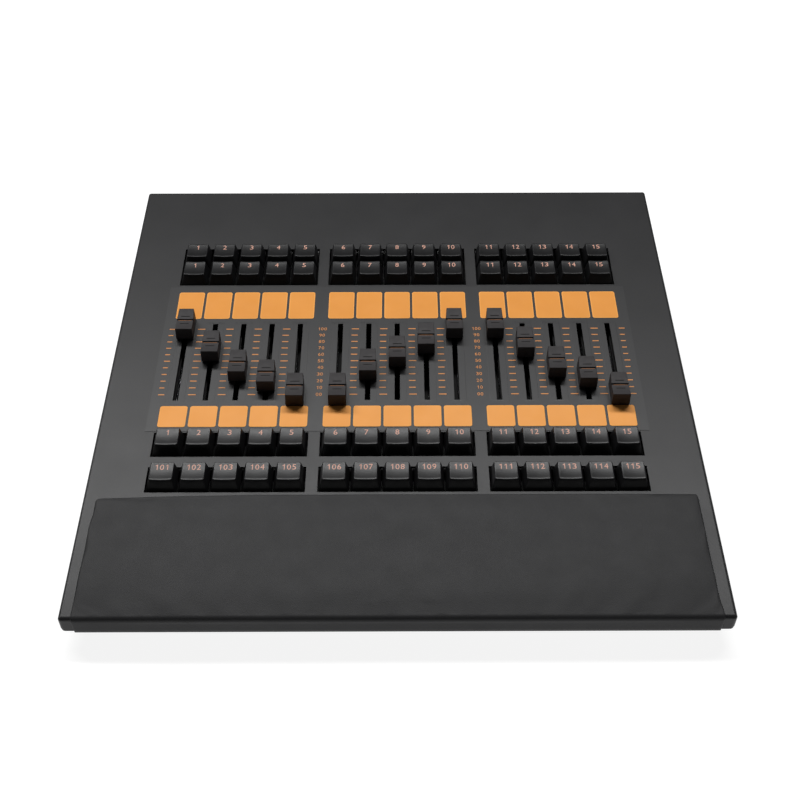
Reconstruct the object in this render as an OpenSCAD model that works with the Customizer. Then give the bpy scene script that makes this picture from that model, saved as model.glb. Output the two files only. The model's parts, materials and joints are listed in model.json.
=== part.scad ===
// Lighting control desk with fifteen slide faders and sixty keys on a sloping steel panel.
// Right-handed frame in millimetres: x to the right, y to the back, z up.
// The origin is at the middle of the desk's footprint, on the table.

/* [Case] */
// Width of the top panel
panel_w = 373.6; // [372:0.2:400]
// Depth of the top panel along its slope
panel_d = 376; // [376:1:400]
// Slope of the top panel, rising to the back, in degrees
tilt = 6; // [5:0.5:8]
// Height of the panel's front edge above the table
front_h = 22; // [22:0.5:26]
// Height of the folded lip round the panel
lip_h = 11.4; // [11:0.1:12.5]
// Thickness of the panel's steel sheet
panel_t = 1.5; // [1.2:0.1:1.6]
// Radius of the panel's upright corners
corner_r = 2; // [2:0.5:5]
// Inset of the tray's sides from the panel's sides
tray_inset = 6; // [5:0.5:6]
// Height of the rubber feet
foot_h = 5; // [4:0.5:5]

/* [Palm rest] */
// Width of the palm rest
rest_w = 360; // [340:1:366]
// Depth of the palm rest, from the panel's front edge
rest_d = 86.2; // [70:0.2:87]
// Thickness of the palm rest
rest_t = 2.2; // [1.6:0.1:4]
// Thickness of the palm rest's flap, which is folded down over the lip
rest_flap = 1; // [0.6:0.1:1.5]

/* [Keys] */
// Distance between neighbouring keys and between neighbouring faders
pitch = 19.05; // [19.05:0.05:19.4]
// Distance between neighbouring banks of five
bank_pitch = 103.25; // [103:0.25:104]
// Distance of the front key row from the panel's front edge
front_row = 98.2; // [98:0.1:98.4]
// Distance of the second key row from the front edge
second_row = 125.9; // [125.6:0.1:126.2]
// Distance of the third key row from the front edge
third_row = 281.4; // [281.2:0.1:283]
// Width of a keycap at its foot
cap_w = 18.3; // [18:0.1:18.4]
// Depth of a keycap at its foot
cap_d = 18.4; // [18:0.1:18.5]
// Height of a keycap's top above the panel
cap_top = 6.5; // [6:0.1:7]
// Travel of a key
key_travel = 3.8; // [3:0.1:3.8]

/* [Faders] */
// Travel of a fader
fader_travel = 60; // [40:1:60]
// Distance of a fader's lowest position from the front edge
fader_zero = 167.65; // [167:0.05:168]
// Width of a fader slot
slot_w = 3.5; // [3:0.1:4]
// Length of a fader slot
slot_l = 70; // [69:0.5:71]
// Width of a fader knob
knob_w = 11.6; // [10:0.1:12]
// Length of a fader knob
knob_l = 20; // [16:0.5:20]
// Height of a fader knob's ends above the panel
knob_top = 10.2; // [9:0.1:12]

/* [Hidden] */
$fn = 48;
eps = 0.1;
BANKS = 3;
PER_BANK = 5;
COLUMNS = BANKS * PER_BANK;
// Resting place of each fader as a share of its travel
levels = [1, 0.65, 0.35, 0.2, 0, 0, 0.36, 0.56, 0.76, 1, 1, 0.7, 0.39, 0.24, 0];

back_row = third_row + pitch;
ROWS = [front_row, second_row, third_row, back_row];
desk_d = panel_d * cos(tilt) + lip_h * sin(tilt);
// How far the palm rest stands out in front of the panel
rest_reach = rest_flap * cos(tilt) + rest_t * sin(tilt);

// Key heights, measured out of the panel
cap_bottom = -1.5;
cap_wall = 1.2;
cap_roof = 1.5;
side_slope = 2.2 / 8;
front_slope = 3.9 / 8;
back_slope = 0.5 / 8;
dish_r = 50;
dish_depth = 0.45;
plate_top = cap_bottom - 6.1;
plate_t = 1.5;
housing_top = plate_top + 5;
housing_bottom = plate_top - 5;
housing_w = 13.9;
housing_flange = 15.6;
housing_upper = 12.6;
chamber_w = 6.8;
chamber_floor = housing_bottom + 0.6;
spring_h = 2.1;
spring_r = 2.1;
boss_bottom = housing_top + key_travel + 0.1;
boss_r = 2.75;
cross_l = 4;
cross_t = 1.2;
slider_w = 6.4;
slider_bottom = chamber_floor + spring_h + key_travel + 0.1;
slider_top = housing_top - 0.2;
guide_pin_l = 2;
key_gap = 0.05;

// Cut-outs for the keys in the top panel
well_w = (PER_BANK - 1) * pitch + cap_w + 1.5;
well_d = 19.6;

// Faders
fader_mid = fader_zero + fader_travel / 2;
channel_w = 10.6;
channel_h = 9;
channel_l = fader_travel + 24;
channel_wall = 1;
channel_end = 4;
channel_top = plate_top - plate_t;
carriage_l = 14;
carriage_w = 8;
carriage_h = 4.5;
carriage_mid = channel_top - 4.15;
rail_r = 1;
rail_x = 2.6;
rail_gap = 0.1;
lever_w = 1.2;
lever_l = 8;
knob_bottom = 1;
knob_draft = 0.5;
knob_saddle = 1;
knob_width_draft = 0.3;

// Film and label fields
film_w = 314;
film_y0 = 136.6;
film_y1 = 269.6;
film_t = 0.25;
label_w = 17.4;
label_t = 0.1;
lower_label = [140.1, 157.7];
upper_label = [237.7, 264];

// Boards and plates, measured in the panel's frame
board_t = 1.6;
plate_w = 326;
plate_y = [84, 316];
board_w = 312;
front_board_y = [84, 140];
rear_board_y = [268, 314];
fader_board_y = [150, 245];
fader_board_top = channel_top - channel_h;
spacer_r = 3;
spacer_bore = 1.6;

// Tray, measured from the panel's front edge
tray_t = 1.5;
tray_front = 4.3;
tray_back = panel_d * cos(tilt) - 6;
tray_w = panel_w - 2 * tray_inset;
floor_top = foot_h + tray_t;
lid_gap = 0.3;
post_x = tray_w / 2 - 10;
post_y = [26, 190, 345];
post_r = 4;
post_bore = 2;
screw_r = 1.9;
screw_head_r = 3.6;
screw_head_h = 2.4;
foot_r = 9;

// Rear panel and its sockets
rear_t = 2;
rear_y = tray_back - rear_t;
inlet_x = 118;
inlet_z = 28;
inlet_flange = [36, 30];
inlet_body = [27, 20];
inlet_mouth = [24, 16.4];
inlet_depth = 26;
inlet_hollow = 16;
switch_x = inlet_x - 32;
switch_flange = [24, 30];
switch_body = [19, 26];
rocker_w = 13;
rocker_r = 10;
rocker_gap = 0.3;
pivot_y = tray_back - 3.5;
pivot_r = 1.5;
rocker_angle = 8;
usb_x = -90;
usb_outer = [12, 10.8];
usb_mouth = [8.5, 7.8];
usb_l = 17;
vent_count = 14;

// Main board and power supply, lying flat on spacers on the tray's floor
stand_h = 6;
stand_top = floor_top + stand_h;
main_x = [-155, -25];
main_y = [262, tray_back - rear_t - 3];
supply_x = [55, 155];
supply_y = [262, 330];
usb_z = stand_top + board_t + usb_outer[1] / 2;

// Ribbon cables: how far apart they lie, the plugs that they join and their own size
ribbon_x = [-130, -100, -70];
plug_w = 24;
plug_h = 5;
plug_inset = [12, 4];
plug_y = [270, 278];
ribbon_w = 20;
ribbon_t = 0.9;
ribbon_lean = 0.35;
lead_gap = 0.2;

function bank_of(i) = floor(i / PER_BANK);
function column_x(i) = (bank_of(i) - 1) * bank_pitch + (i % PER_BANK - 2) * pitch;
function level_y(i) = fader_zero + levels[i] * fader_travel;
// Height of the underside of the top panel at a distance from the front edge
function under_panel(y) = front_h + y * tan(tilt) - panel_t / cos(tilt);
// Distance from the front edge and height above the table of a point given in the panel's frame
function off_panel(y, z) = [
    y * cos(tilt) - z * sin(tilt),
    front_h + y * sin(tilt) + z * cos(tilt)
];
function key_name(i) = str("key_", i + 1);
function fader_name(i) = str("fader_", i + 1);
function front_name(b) = str("front_keys_", b + 1);
function upper_name(b) = str("upper_keys_", b + 1);

// ---- Placing and shared shapes ----

// Children measured from the middle of the panel's front edge at table height
module from_front() {
    translate([0, (rest_reach - desk_d) / 2, 0]) children();
}

// Children in the panel's frame: y up the slope from the front edge, z out of the panel
module on_panel() {
    from_front() translate([0, 0, front_h]) rotate([tilt, 0, 0]) children();
}

// A rectangle between two distances from the front edge, with rounded corners
module rounded_field(w, y0, y1, r) {
    translate([-w / 2 + r, y0]) square([w - 2 * r, y1 - y0]);
    translate([-w / 2, y0 + r]) square([w, y1 - y0 - 2 * r]);
    for (x = [-1, 1], y = [y0 + r, y1 - r])
        translate([x * (w / 2 - r), y]) circle(r);
}

// A plate of that outline between two heights
module rounded_plate(w, y0, y1, r, z0, z1) {
    translate([0, 0, z0]) linear_extrude(z1 - z0) rounded_field(w, y0, y1, r);
}

// A box between two distances from the front edge and between two heights
module block(x, w, y0, y1, z0, z1) {
    translate([x - w / 2, y0, z0]) cube([w, y1 - y0, z1 - z0]);
}

// A tube that stands on z0
module ring(outer, inner, z0, z1) {
    translate([0, 0, z0]) difference() {
        cylinder(r = outer, h = z1 - z0);
        translate([0, 0, -eps]) cylinder(r = inner, h = z1 - z0 + 2 * eps);
    }
}

// A block with sloping faces: slopes are the inset for each millimetre of height
module sloped_block(w, d, z0, z1, side, front, back) {
    h = z1 - z0;
    intersection() {
        rotate([90, 0, 0]) linear_extrude(2 * d, center = true)
            polygon([[-w / 2, z0], [w / 2, z0], [w / 2 - side * h, z1], [side * h - w / 2, z1]]);
        rotate([90, 0, 90]) linear_extrude(2 * w, center = true)
            polygon([[-d / 2, z0], [d / 2, z0], [d / 2 - back * h, z1], [front * h - d / 2, z1]]);
    }
}

// A slab with its profile in the y-z plane, under the sloping panel
module under_lid(w, y0, y1, z0, gap) {
    rotate([90, 0, 90]) linear_extrude(w, center = true)
        polygon([[y0, z0], [y1, z0], [y1, under_panel(y1) - gap], [y0, under_panel(y0) - gap]]);
}

// Children at the four corners of a rectangle given by its limits
module at_corners(x0, x1, y0, y1) {
    for (x = [x0, x1], y = [y0, y1]) translate([x, y, 0]) children();
}

// ---- Case ----

// Openings for the faders' levers
module fader_slots(w, l, z0, z1) {
    for (i = [0:COLUMNS - 1])
        block(column_x(i), w, fader_mid - l / 2, fader_mid + l / 2, z0, z1);
}

// Folded steel top with its lip all round, key wells and fader slots
module top_panel() {
    color([0.25, 0.25, 0.26]) on_panel() difference() {
        rounded_plate(panel_w, 0, panel_d, corner_r, -lip_h, 0);
        rounded_plate(panel_w - 2 * panel_t, panel_t, panel_d - panel_t, corner_r - panel_t,
            -lip_h - eps, -panel_t);
        fader_slots(slot_w, slot_l, -panel_t - eps, eps);
        for (b = [0:BANKS - 1]) {
            x = (b - 1) * bank_pitch;
            for (y = [front_row, second_row])
                block(x, well_w, y - well_d / 2, y + well_d / 2, -panel_t - eps, eps);
            block(x, well_w, third_row - well_d / 2, back_row + well_d / 2, -panel_t - eps, eps);
        }
    }
}

// Folded steel tray: floor, front wall and two side walls
module base_tray() {
    color([0.16, 0.16, 0.17]) from_front() difference() {
        under_lid(tray_w, tray_front, tray_back, foot_h, lid_gap);
        under_lid(tray_w - 2 * tray_t, tray_front + tray_t, tray_back + 1, floor_top, -5);
        for (x = [-1, 1], y = post_y)
            translate([x * post_x, y, foot_h - eps]) cylinder(r = 2.2, h = tray_t + 2 * eps);
    }
}

// Upright steel plate that closes the back, with openings for the sockets and air
module rear_panel() {
    color([0.18, 0.18, 0.19]) from_front() difference() {
        under_lid(tray_w - 2 * tray_t - 0.2, rear_y, tray_back, floor_top, lid_gap);
        block(inlet_x, inlet_body[0] + 0.4, rear_y - 1, tray_back + 1,
            inlet_z - inlet_body[1] / 2 - 0.2, inlet_z + inlet_body[1] / 2 + 0.2);
        block(switch_x, switch_body[0] + 0.4, rear_y - 1, tray_back + 1,
            inlet_z - switch_body[1] / 2 - 0.2, inlet_z + switch_body[1] / 2 + 0.2);
        block(usb_x, usb_outer[0] + 0.6, rear_y - 1, tray_back + 1,
            usb_z - usb_outer[1] / 2 - 0.3, usb_z + usb_outer[1] / 2 + 0.3);
        for (i = [0:vent_count - 1])
            block((i - (vent_count - 1) / 2) * 6 - 12, 2.5, rear_y - 1, tray_back + 1, 18, 42);
    }
}

// Soft rest across the front of the panel, with a flap down to the lip's lower edge
module palm_rest() {
    color([0.24, 0.24, 0.25]) on_panel() {
        rounded_plate(rest_w, -rest_flap, rest_d, 1, 0, rest_t);
        block(0, rest_w, -rest_flap, 0, -lip_h, eps);
    }
}

// Thin printed film between the key rows, with the same slots as the panel
module control_film() {
    color([0.27, 0.27, 0.28]) on_panel() difference() {
        rounded_plate(film_w, film_y0, film_y1, 3, 0, film_t);
        fader_slots(slot_w, slot_l, -eps, film_t + eps);
    }
}

// Coloured writing fields above and below each fader
module label_fields() {
    color([0.93, 0.62, 0.32]) on_panel() for (i = [0:COLUMNS - 1], f = [lower_label, upper_label])
        translate([column_x(i), 0, 0])
            rounded_plate(label_w, f[0], f[1], 1.5, film_t, film_t + label_t);
}

// ---- Keys ----

// Hollow keycap with a dished top and a socket for the switch's stem, at the middle of its foot
module keycap() {
    difference() {
        sloped_block(cap_w, cap_d, cap_bottom, cap_top, side_slope, front_slope, back_slope);
        translate([0, 0, cap_top + dish_r - dish_depth]) rotate([90, 0, 0])
            cylinder(r = dish_r, h = 2 * cap_d, center = true, $fn = 96);
        difference() {
            sloped_block(cap_w - 2 * cap_wall, cap_d - 2 * cap_wall, cap_bottom - eps,
                cap_top - cap_roof, side_slope, front_slope, back_slope);
            translate([0, 0, boss_bottom]) cylinder(r = boss_r, h = cap_top);
        }
        for (a = [0, 90]) rotate(a)
            block(0, cross_l + 2 * key_gap, -cross_t / 2 - key_gap, cross_t / 2 + key_gap,
                boss_bottom - eps, cap_top - cap_roof - 0.2);
    }
}

// Slider that carries the cap and presses on the spring
module key_slider() {
    block(0, slider_w, -slider_w / 2, slider_w / 2, slider_bottom, slider_top);
    for (a = [0, 90]) rotate(a)
        block(0, cross_l, -cross_t / 2, cross_t / 2, slider_top - eps, cap_top - cap_roof - 0.4);
    translate([0, 0, slider_bottom - guide_pin_l]) cylinder(r = 1, h = guide_pin_l + eps);
}

// Keycap and slider of one key
module key(i, row) {
    on_panel() translate([column_x(i), row, 0]) {
        color([0.1, 0.1, 0.1]) keycap();
        color([0.35, 0.2, 0.12]) key_slider();
    }
}

// The front five keys of one bank
module front_keys(b) {
    for (k = [0:PER_BANK - 1]) key(b * PER_BANK + k, front_row);
}

// The two rows of five keys at the back of one bank
module upper_keys(b) {
    for (k = [0:PER_BANK - 1], row = [third_row, back_row]) key(b * PER_BANK + k, row);
}

// Housing of one key switch, held by its flange on the mounting plate
module switch_housing() {
    difference() {
        union() {
            block(0, housing_w, -housing_w / 2, housing_w / 2, housing_bottom, plate_top + eps);
            block(0, housing_flange, -housing_flange / 2, housing_flange / 2,
                plate_top, plate_top + 1);
            block(0, housing_upper, -housing_upper / 2, housing_upper / 2,
                plate_top + 0.5, housing_top);
        }
        block(0, chamber_w, -chamber_w / 2, chamber_w / 2, chamber_floor, housing_top + eps);
    }
}

// The sixty switch housings
module key_switches() {
    color([0.2, 0.2, 0.22]) on_panel() for (i = [0:COLUMNS - 1], row = ROWS)
        translate([column_x(i), row, 0]) switch_housing();
}

// The sixty return springs, at the height that they have when a key is pressed home
module key_springs() {
    color([0.8, 0.8, 0.82]) on_panel() for (i = [0:COLUMNS - 1], row = ROWS)
        translate([column_x(i), row, 0])
            ring(spring_r, spring_r - 0.6, chamber_floor, chamber_floor + spring_h);
}

// Steel plate under the panel that holds the switches and the faders
module mounting_plate() {
    hole = housing_w + 2 * key_gap;
    color([0.06, 0.06, 0.06]) on_panel() difference() {
        block(0, plate_w, plate_y[0], plate_y[1], plate_top - plate_t, plate_top);
        for (i = [0:COLUMNS - 1], row = ROWS)
            block(column_x(i), hole, row - hole / 2, row + hole / 2,
                plate_top - plate_t - eps, plate_top + eps);
        fader_slots(slot_w, slot_l + 1, plate_top - plate_t - eps, plate_top + eps);
    }
}

// ---- Boards in the panel's frame ----

// A circuit board with a plug for its ribbon cable on the underside
module control_board(y, top, plug_x) {
    block(0, board_w, y[0], y[1], top - board_t, top);
    block(plug_x, plug_w, y[1] - plug_inset[0], y[1] - plug_inset[1],
        top - board_t - plug_h, top - board_t + eps);
}

// Board under the two front key rows
module front_key_board() {
    color([0.05, 0.3, 0.15]) on_panel() control_board(front_board_y, housing_bottom, ribbon_x[0]);
}

// Board under the two back key rows
module rear_key_board() {
    color([0.05, 0.3, 0.15]) on_panel() control_board(rear_board_y, housing_bottom, ribbon_x[2]);
}

// Board under the faders
module fader_board() {
    color([0.05, 0.3, 0.15]) on_panel() control_board(fader_board_y, fader_board_top, ribbon_x[1]);
}

// ---- Faders ----

// Side outline of a fader knob, with a hollowed top
module knob_outline() {
    half = knob_l / 2;
    steps = 16;
    top = [for (s = [0:steps]) let (t = 1 - 2 * s / steps)
        [t * (half - knob_draft), knob_top - knob_saddle * (1 - t * t)]];
    polygon(concat([[-half, knob_bottom], [half, knob_bottom]], top));
}

// Fader knob with a finger groove across it, at its groove's foot
module fader_knob() {
    h = knob_top - knob_bottom;
    difference() {
        intersection() {
            rotate([90, 0, 90]) linear_extrude(knob_w, center = true) knob_outline();
            sloped_block(knob_w, 2 * knob_l, knob_bottom, knob_top + eps, knob_width_draft / h, 0, 0);
        }
        block(0, knob_w + 1, -0.4, 0.4, knob_top - knob_saddle - 0.7, knob_top);
        block(0, lever_w + 0.1, -lever_l / 2 - 0.05, lever_l / 2 + 0.05, 0, knob_top - 4);
    }
}

// Carriage that slides on the two rails inside a fader's channel
module fader_carriage() {
    low = carriage_mid - carriage_h / 2;
    high = carriage_mid + carriage_h / 2;
    difference() {
        block(0, carriage_w, -carriage_l / 2, carriage_l / 2, low, high);
        for (x = [-rail_x, rail_x]) translate([x, carriage_l / 2 + eps, carriage_mid])
            rotate([90, 0, 0]) cylinder(r = rail_r + rail_gap, h = carriage_l + 2 * eps);
        block(0, lever_w + 0.1, -lever_l / 2 - 0.05, lever_l / 2 + 0.05, carriage_mid, high + eps);
    }
}

// Knob, lever and carriage of one fader, at its resting place
module fader(i) {
    on_panel() translate([column_x(i), level_y(i), 0]) {
        color([0.13, 0.13, 0.14]) fader_knob();
        color([0.75, 0.75, 0.77])
            block(0, lever_w, -lever_l / 2, lever_l / 2, carriage_mid + 0.1, knob_top - 4.1);
        color([0.85, 0.85, 0.8]) fader_carriage();
    }
}

// One fader's steel channel, with its lever slot and the rails' end holes
module fader_channel() {
    low = channel_top - channel_h;
    inner = channel_l - 2 * channel_end;
    difference() {
        block(0, channel_w, -channel_l / 2, channel_l / 2, low, channel_top);
        block(0, channel_w - 2 * channel_wall, -inner / 2, inner / 2,
            low + channel_wall, channel_top - channel_wall);
        block(0, slot_w, -slot_l / 2, slot_l / 2, channel_top - 2 * channel_wall, channel_top + eps);
        for (x = [-rail_x, rail_x]) translate([x, channel_l / 2 - 1, carriage_mid])
            rotate([90, 0, 0]) cylinder(r = rail_r + 0.05, h = channel_l - 2);
    }
}

// The fifteen fader channels
module fader_bodies() {
    color([0.07, 0.07, 0.07]) on_panel() for (i = [0:COLUMNS - 1])
        translate([column_x(i), fader_mid, 0]) fader_channel();
}

// Two round guide rails in each fader channel
module fader_rails() {
    color([0.85, 0.85, 0.87]) on_panel() for (i = [0:COLUMNS - 1], x = [-rail_x, rail_x])
        translate([column_x(i) + x, fader_mid + channel_l / 2 - 1.2, carriage_mid])
            rotate([90, 0, 0]) cylinder(r = rail_r, h = channel_l - 2.4);
}

// ---- Electronics on the tray ----

// Main board with its processor, connectors and smoothing capacitors
module main_board() {
    top = stand_top + board_t;
    color([0.05, 0.3, 0.15]) from_front() {
        translate([main_x[0], main_y[0], stand_top])
            cube([main_x[1] - main_x[0], main_y[1] - main_y[0], board_t]);
        block(-75, 22, 300, 322, top - eps, top + 1.6);
        block(-45, 12, 330, 350, top - eps, top + 6);
        for (x = ribbon_x) block(x, plug_w, plug_y[0], plug_y[1], top - eps, top + plug_h);
        for (x = [-140, -125]) translate([x, 340, top - eps]) cylinder(r = 4, h = 9);
    }
}

// Power supply board with its transformer, capacitors and heat sink
module power_supply() {
    top = stand_top + board_t;
    color([0.75, 0.65, 0.3]) from_front() {
        translate([supply_x[0], supply_y[0], stand_top])
            cube([supply_x[1] - supply_x[0], supply_y[1] - supply_y[0], board_t]);
        block(100, 28, 280, 304, top - eps, top + 20);
        block(75, 4, 268, 322, top - eps, top + 18);
        for (x = [124, 140]) translate([x, 290, top - eps]) cylinder(r = 6.5, h = 20);
        block(inlet_x, plug_w, 314, 324, top - eps, top + 10);
    }
}

// Mains inlet and the switch's housing beside it
module power_inlet() {
    color([0.08, 0.08, 0.08]) from_front() {
        difference() {
            union() {
                inlet_box(inlet_x, inlet_flange, tray_back, tray_back + 2);
                inlet_box(inlet_x, inlet_body, tray_back - inlet_depth, tray_back + eps);
            }
            inlet_box(inlet_x, inlet_mouth, tray_back + 2 - inlet_hollow, tray_back + 2 + eps);
        }
        for (p = [[-7, 2], [0, -2], [7, 2]])
            block(inlet_x + p[0], 2, tray_back + 1.5 - inlet_hollow, tray_back - 4,
                inlet_z + p[1] - 2, inlet_z + p[1] + 2);
        difference() {
            union() {
                inlet_box(switch_x, switch_flange, tray_back, tray_back + 2);
                inlet_box(switch_x, switch_body, tray_back - 20, tray_back + eps);
            }
            inlet_box(switch_x, [rocker_w, 2 * rocker_r + 1], tray_back - 16, tray_back + 2 + eps);
            translate([switch_x, pivot_y, inlet_z]) rotate([0, 90, 0])
                cylinder(r = pivot_r + 0.1, h = rocker_w + 3, center = true);
        }
    }
}

// A box with its width and height about the sockets' centre line
module inlet_box(x, size, y0, y1) {
    block(x, size[0], y0, y1, inlet_z - size[1] / 2, inlet_z + size[1] / 2);
}

// Rocker of the power switch, resting on its lower half
module power_rocker() {
    face = 4.4;
    color([0.1, 0.1, 0.1]) from_front() translate([switch_x, pivot_y, inlet_z])
        rotate([-rocker_angle, 0, 0]) {
            rotate([90, 0, 90]) linear_extrude(rocker_w - 2 * rocker_gap, center = true)
                intersection() {
                    circle(rocker_r);
                    polygon([[-6, -rocker_r], [face + 1.4, -rocker_r], [face, 0],
                        [face + 1.4, rocker_r], [-6, rocker_r]]);
                }
            rotate([0, 90, 0]) cylinder(r = pivot_r, h = rocker_w + 2, center = true);
        }
}

// Square data socket on the main board
module usb_socket() {
    color([0.8, 0.8, 0.82]) from_front() {
        difference() {
            block(usb_x, usb_outer[0], tray_back - usb_l, tray_back + 0.5,
                usb_z - usb_outer[1] / 2, usb_z + usb_outer[1] / 2);
            block(usb_x, usb_mouth[0], tray_back - usb_l + 3, tray_back + 1,
                usb_z - usb_mouth[1] / 2, usb_z + usb_mouth[1] / 2);
        }
        block(usb_x, 5.6, tray_back - usb_l + 2.5, tray_back - 1, usb_z - 1.6, usb_z + 1.6);
    }
}

// ---- Wiring and small parts ----

// Flat cable along a route of points, each a distance from the front edge and a height
module ribbon(x, w, route) {
    last = len(route) - 1;
    upper = [for (k = [0:last]) route[last - k] + [ribbon_lean, ribbon_t]];
    translate([x, 0, 0]) rotate([90, 0, 90]) linear_extrude(w, center = true)
        polygon(concat(route, upper));
}

// Where a ribbon meets the plug under a board whose back edge and top are given
function plug_point(y_end, top) =
    off_panel(y_end - (plug_inset[0] + plug_inset[1]) / 2, top - board_t - plug_h)
    - [0, ribbon_t + 2 * lead_gap];

// Ribbon cables from the boards to the main board, and the mains leads from the inlet
module internal_wiring() {
    main_top = stand_top + board_t + plug_h + lead_gap;
    supply_top = stand_top + board_t + 10 + lead_gap;
    inlet_back = tray_back - inlet_depth - ribbon_lean - lead_gap;
    color([0.6, 0.6, 0.62]) from_front() {
        ribbon(ribbon_x[0], ribbon_w, [[plug_y[1], main_top], [266, main_top], [257, 17],
            [250, 10], [160, 8.5], [146, 10], plug_point(front_board_y[1], housing_bottom)]);
        ribbon(ribbon_x[1], ribbon_w, [[plug_y[1], main_top], [266, main_top],
            [252, main_top + 0.3], plug_point(fader_board_y[1], fader_board_top)]);
        ribbon(ribbon_x[2], ribbon_w, [[plug_y[0], main_top], [282, main_top], [296, 26],
            plug_point(rear_board_y[1], housing_bottom)]);
        for (x = [-8, 0, 8]) ribbon(inlet_x + x, 2, [[inlet_back, inlet_z], [334, inlet_z - 1],
            [328, supply_top + 0.5], [320, supply_top]]);
    }
}

// Threaded posts between the tray's floor and the top panel
module support_posts() {
    color([0.75, 0.75, 0.77]) from_front() for (x = [-1, 1], y = post_y)
        difference() {
            intersection() {
                translate([x * post_x, y, floor_top]) cylinder(r = post_r, h = 80);
                under_lid(panel_w, 5, tray_back, floor_top, 0);
            }
            translate([x * post_x, y, floor_top - eps]) cylinder(r = post_bore, h = 12.5);
        }
}

// Spacers that carry the mounting plate and all boards
module spacers() {
    color([0.8, 0.75, 0.55]) {
        on_panel() {
            for (y = [90, 200, 310]) at_corners(-158, 158, y, y)
                ring(spacer_r, spacer_bore, plate_top, -panel_t);
            for (b = [front_board_y, rear_board_y])
                at_corners(-152.5, 152.5, b[0] + 4, b[1] - 4)
                    ring(spacer_r - 0.5, spacer_bore, housing_bottom, channel_top);
            at_corners(-152.5, 152.5, fader_board_y[0] + 4, fader_board_y[1] - 4)
                ring(spacer_r - 0.5, spacer_bore, fader_board_top, channel_top);
        }
        from_front() {
            at_corners(main_x[0] + 5, main_x[1] - 5, main_y[0] + 5, main_y[1] - 5)
                ring(spacer_r, spacer_bore, floor_top, stand_top);
            at_corners(supply_x[0] + 5, supply_x[1] - 5, supply_y[0] + 5, supply_y[1] - 5)
                ring(spacer_r, spacer_bore, floor_top, stand_top);
        }
    }
}

// Six case screws, four of which also hold the feet
module case_screws() {
    color([0.3, 0.3, 0.32]) from_front() for (x = [-1, 1], k = [0, 1, 2]) {
        head = k == 1 ? foot_h : 3;
        translate([x * post_x, post_y[k], 0]) difference() {
            union() {
                translate([0, 0, head - screw_head_h]) cylinder(r = screw_head_r, h = screw_head_h);
                translate([0, 0, head - eps]) cylinder(r = screw_r, h = floor_top + 10 - head);
            }
            for (a = [0, 90]) rotate(a) block(0, 4, -0.5, 0.5, head - screw_head_h - eps,
                head - screw_head_h + 1.2);
        }
    }
}

// Rubber feet with a recess for their screws
module feet() {
    color([0.05, 0.05, 0.05]) from_front() for (x = [-1, 1], y = [post_y[0], post_y[2]])
        translate([x * post_x, y, 0]) difference() {
            cylinder(r = foot_r, h = foot_h);
            translate([0, 0, -eps]) cylinder(r = screw_head_r + 0.6, h = 3 + eps);
            cylinder(r = screw_r + 0.2, h = foot_h + eps);
        }
}

top_panel();
base_tray();
rear_panel();
palm_rest();
control_film();
label_fields();
mounting_plate();
key_switches();
key_springs();
front_key_board();
rear_key_board();
fader_bodies();
fader_rails();
fader_board();
main_board();
power_supply();
power_inlet();
power_rocker();
usb_socket();
internal_wiring();
support_posts();
spacers();
case_screws();
feet();
for (i = [0:COLUMNS - 1]) {
    fader(i);
    key(i, second_row);
}
for (b = [0:BANKS - 1]) {
    front_keys(b);
    upper_keys(b);
}
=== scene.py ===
"""Looks of the lighting control desk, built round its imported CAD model."""

import json
import math

import bmesh
import bpy
from mathutils import Matrix, Vector, noise


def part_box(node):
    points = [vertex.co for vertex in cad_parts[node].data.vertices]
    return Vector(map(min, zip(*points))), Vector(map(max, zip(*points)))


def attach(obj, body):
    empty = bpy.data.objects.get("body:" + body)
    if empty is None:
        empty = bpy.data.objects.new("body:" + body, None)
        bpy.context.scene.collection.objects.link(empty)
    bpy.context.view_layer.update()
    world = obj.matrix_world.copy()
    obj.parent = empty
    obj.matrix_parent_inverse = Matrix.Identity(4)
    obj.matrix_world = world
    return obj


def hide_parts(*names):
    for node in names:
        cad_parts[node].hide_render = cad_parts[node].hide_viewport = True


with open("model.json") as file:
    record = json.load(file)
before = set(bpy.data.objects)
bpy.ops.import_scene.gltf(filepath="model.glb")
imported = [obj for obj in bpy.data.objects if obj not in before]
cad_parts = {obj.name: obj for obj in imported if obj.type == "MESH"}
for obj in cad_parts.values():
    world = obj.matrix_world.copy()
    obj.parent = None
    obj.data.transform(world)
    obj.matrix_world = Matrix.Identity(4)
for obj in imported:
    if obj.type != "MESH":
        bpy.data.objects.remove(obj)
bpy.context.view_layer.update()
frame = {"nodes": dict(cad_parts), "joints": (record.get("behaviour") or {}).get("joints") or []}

# ---- The panel's frame: x to the right, y up the slope from the front edge, z out of the panel ----

MM = 0.001
SLOPE = next(j["axis"] for j in frame["joints"] if j["name"] == "fader_1_slide")
TILT = math.atan2(SLOPE[2], SLOPE[1])


def panel_placing():
    """The panel's place, its depth and the height of its lip, all in metres, from its box at rest."""
    low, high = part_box("top_panel")
    c, s = math.cos(TILT), math.sin(TILT)
    dy, dz = high.y - low.y, high.z - low.z
    depth = (dy * c - dz * s) / (c * c - s * s)
    lip = (dz * c - dy * s) / (c * c - s * s)
    front = Vector((0, low.y, high.z - depth * s))
    return Matrix.Translation(front) @ Matrix.Rotation(TILT, 4, "X"), depth, lip


PANEL, PANEL_DEPTH, LIP_HEIGHT = panel_placing()
ON_PANEL = PANEL @ Matrix.Scale(MM, 4)
UPRIGHT = Matrix.Scale(MM, 4)


def span(node):
    """Lowest and highest corner of a CAD node in millimetres, in the panel's frame."""
    back = ON_PANEL.inverted()
    points = [back @ v.co for v in frame["nodes"][node].data.vertices]
    return Vector(map(min, zip(*points))), Vector(map(max, zip(*points)))


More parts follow.
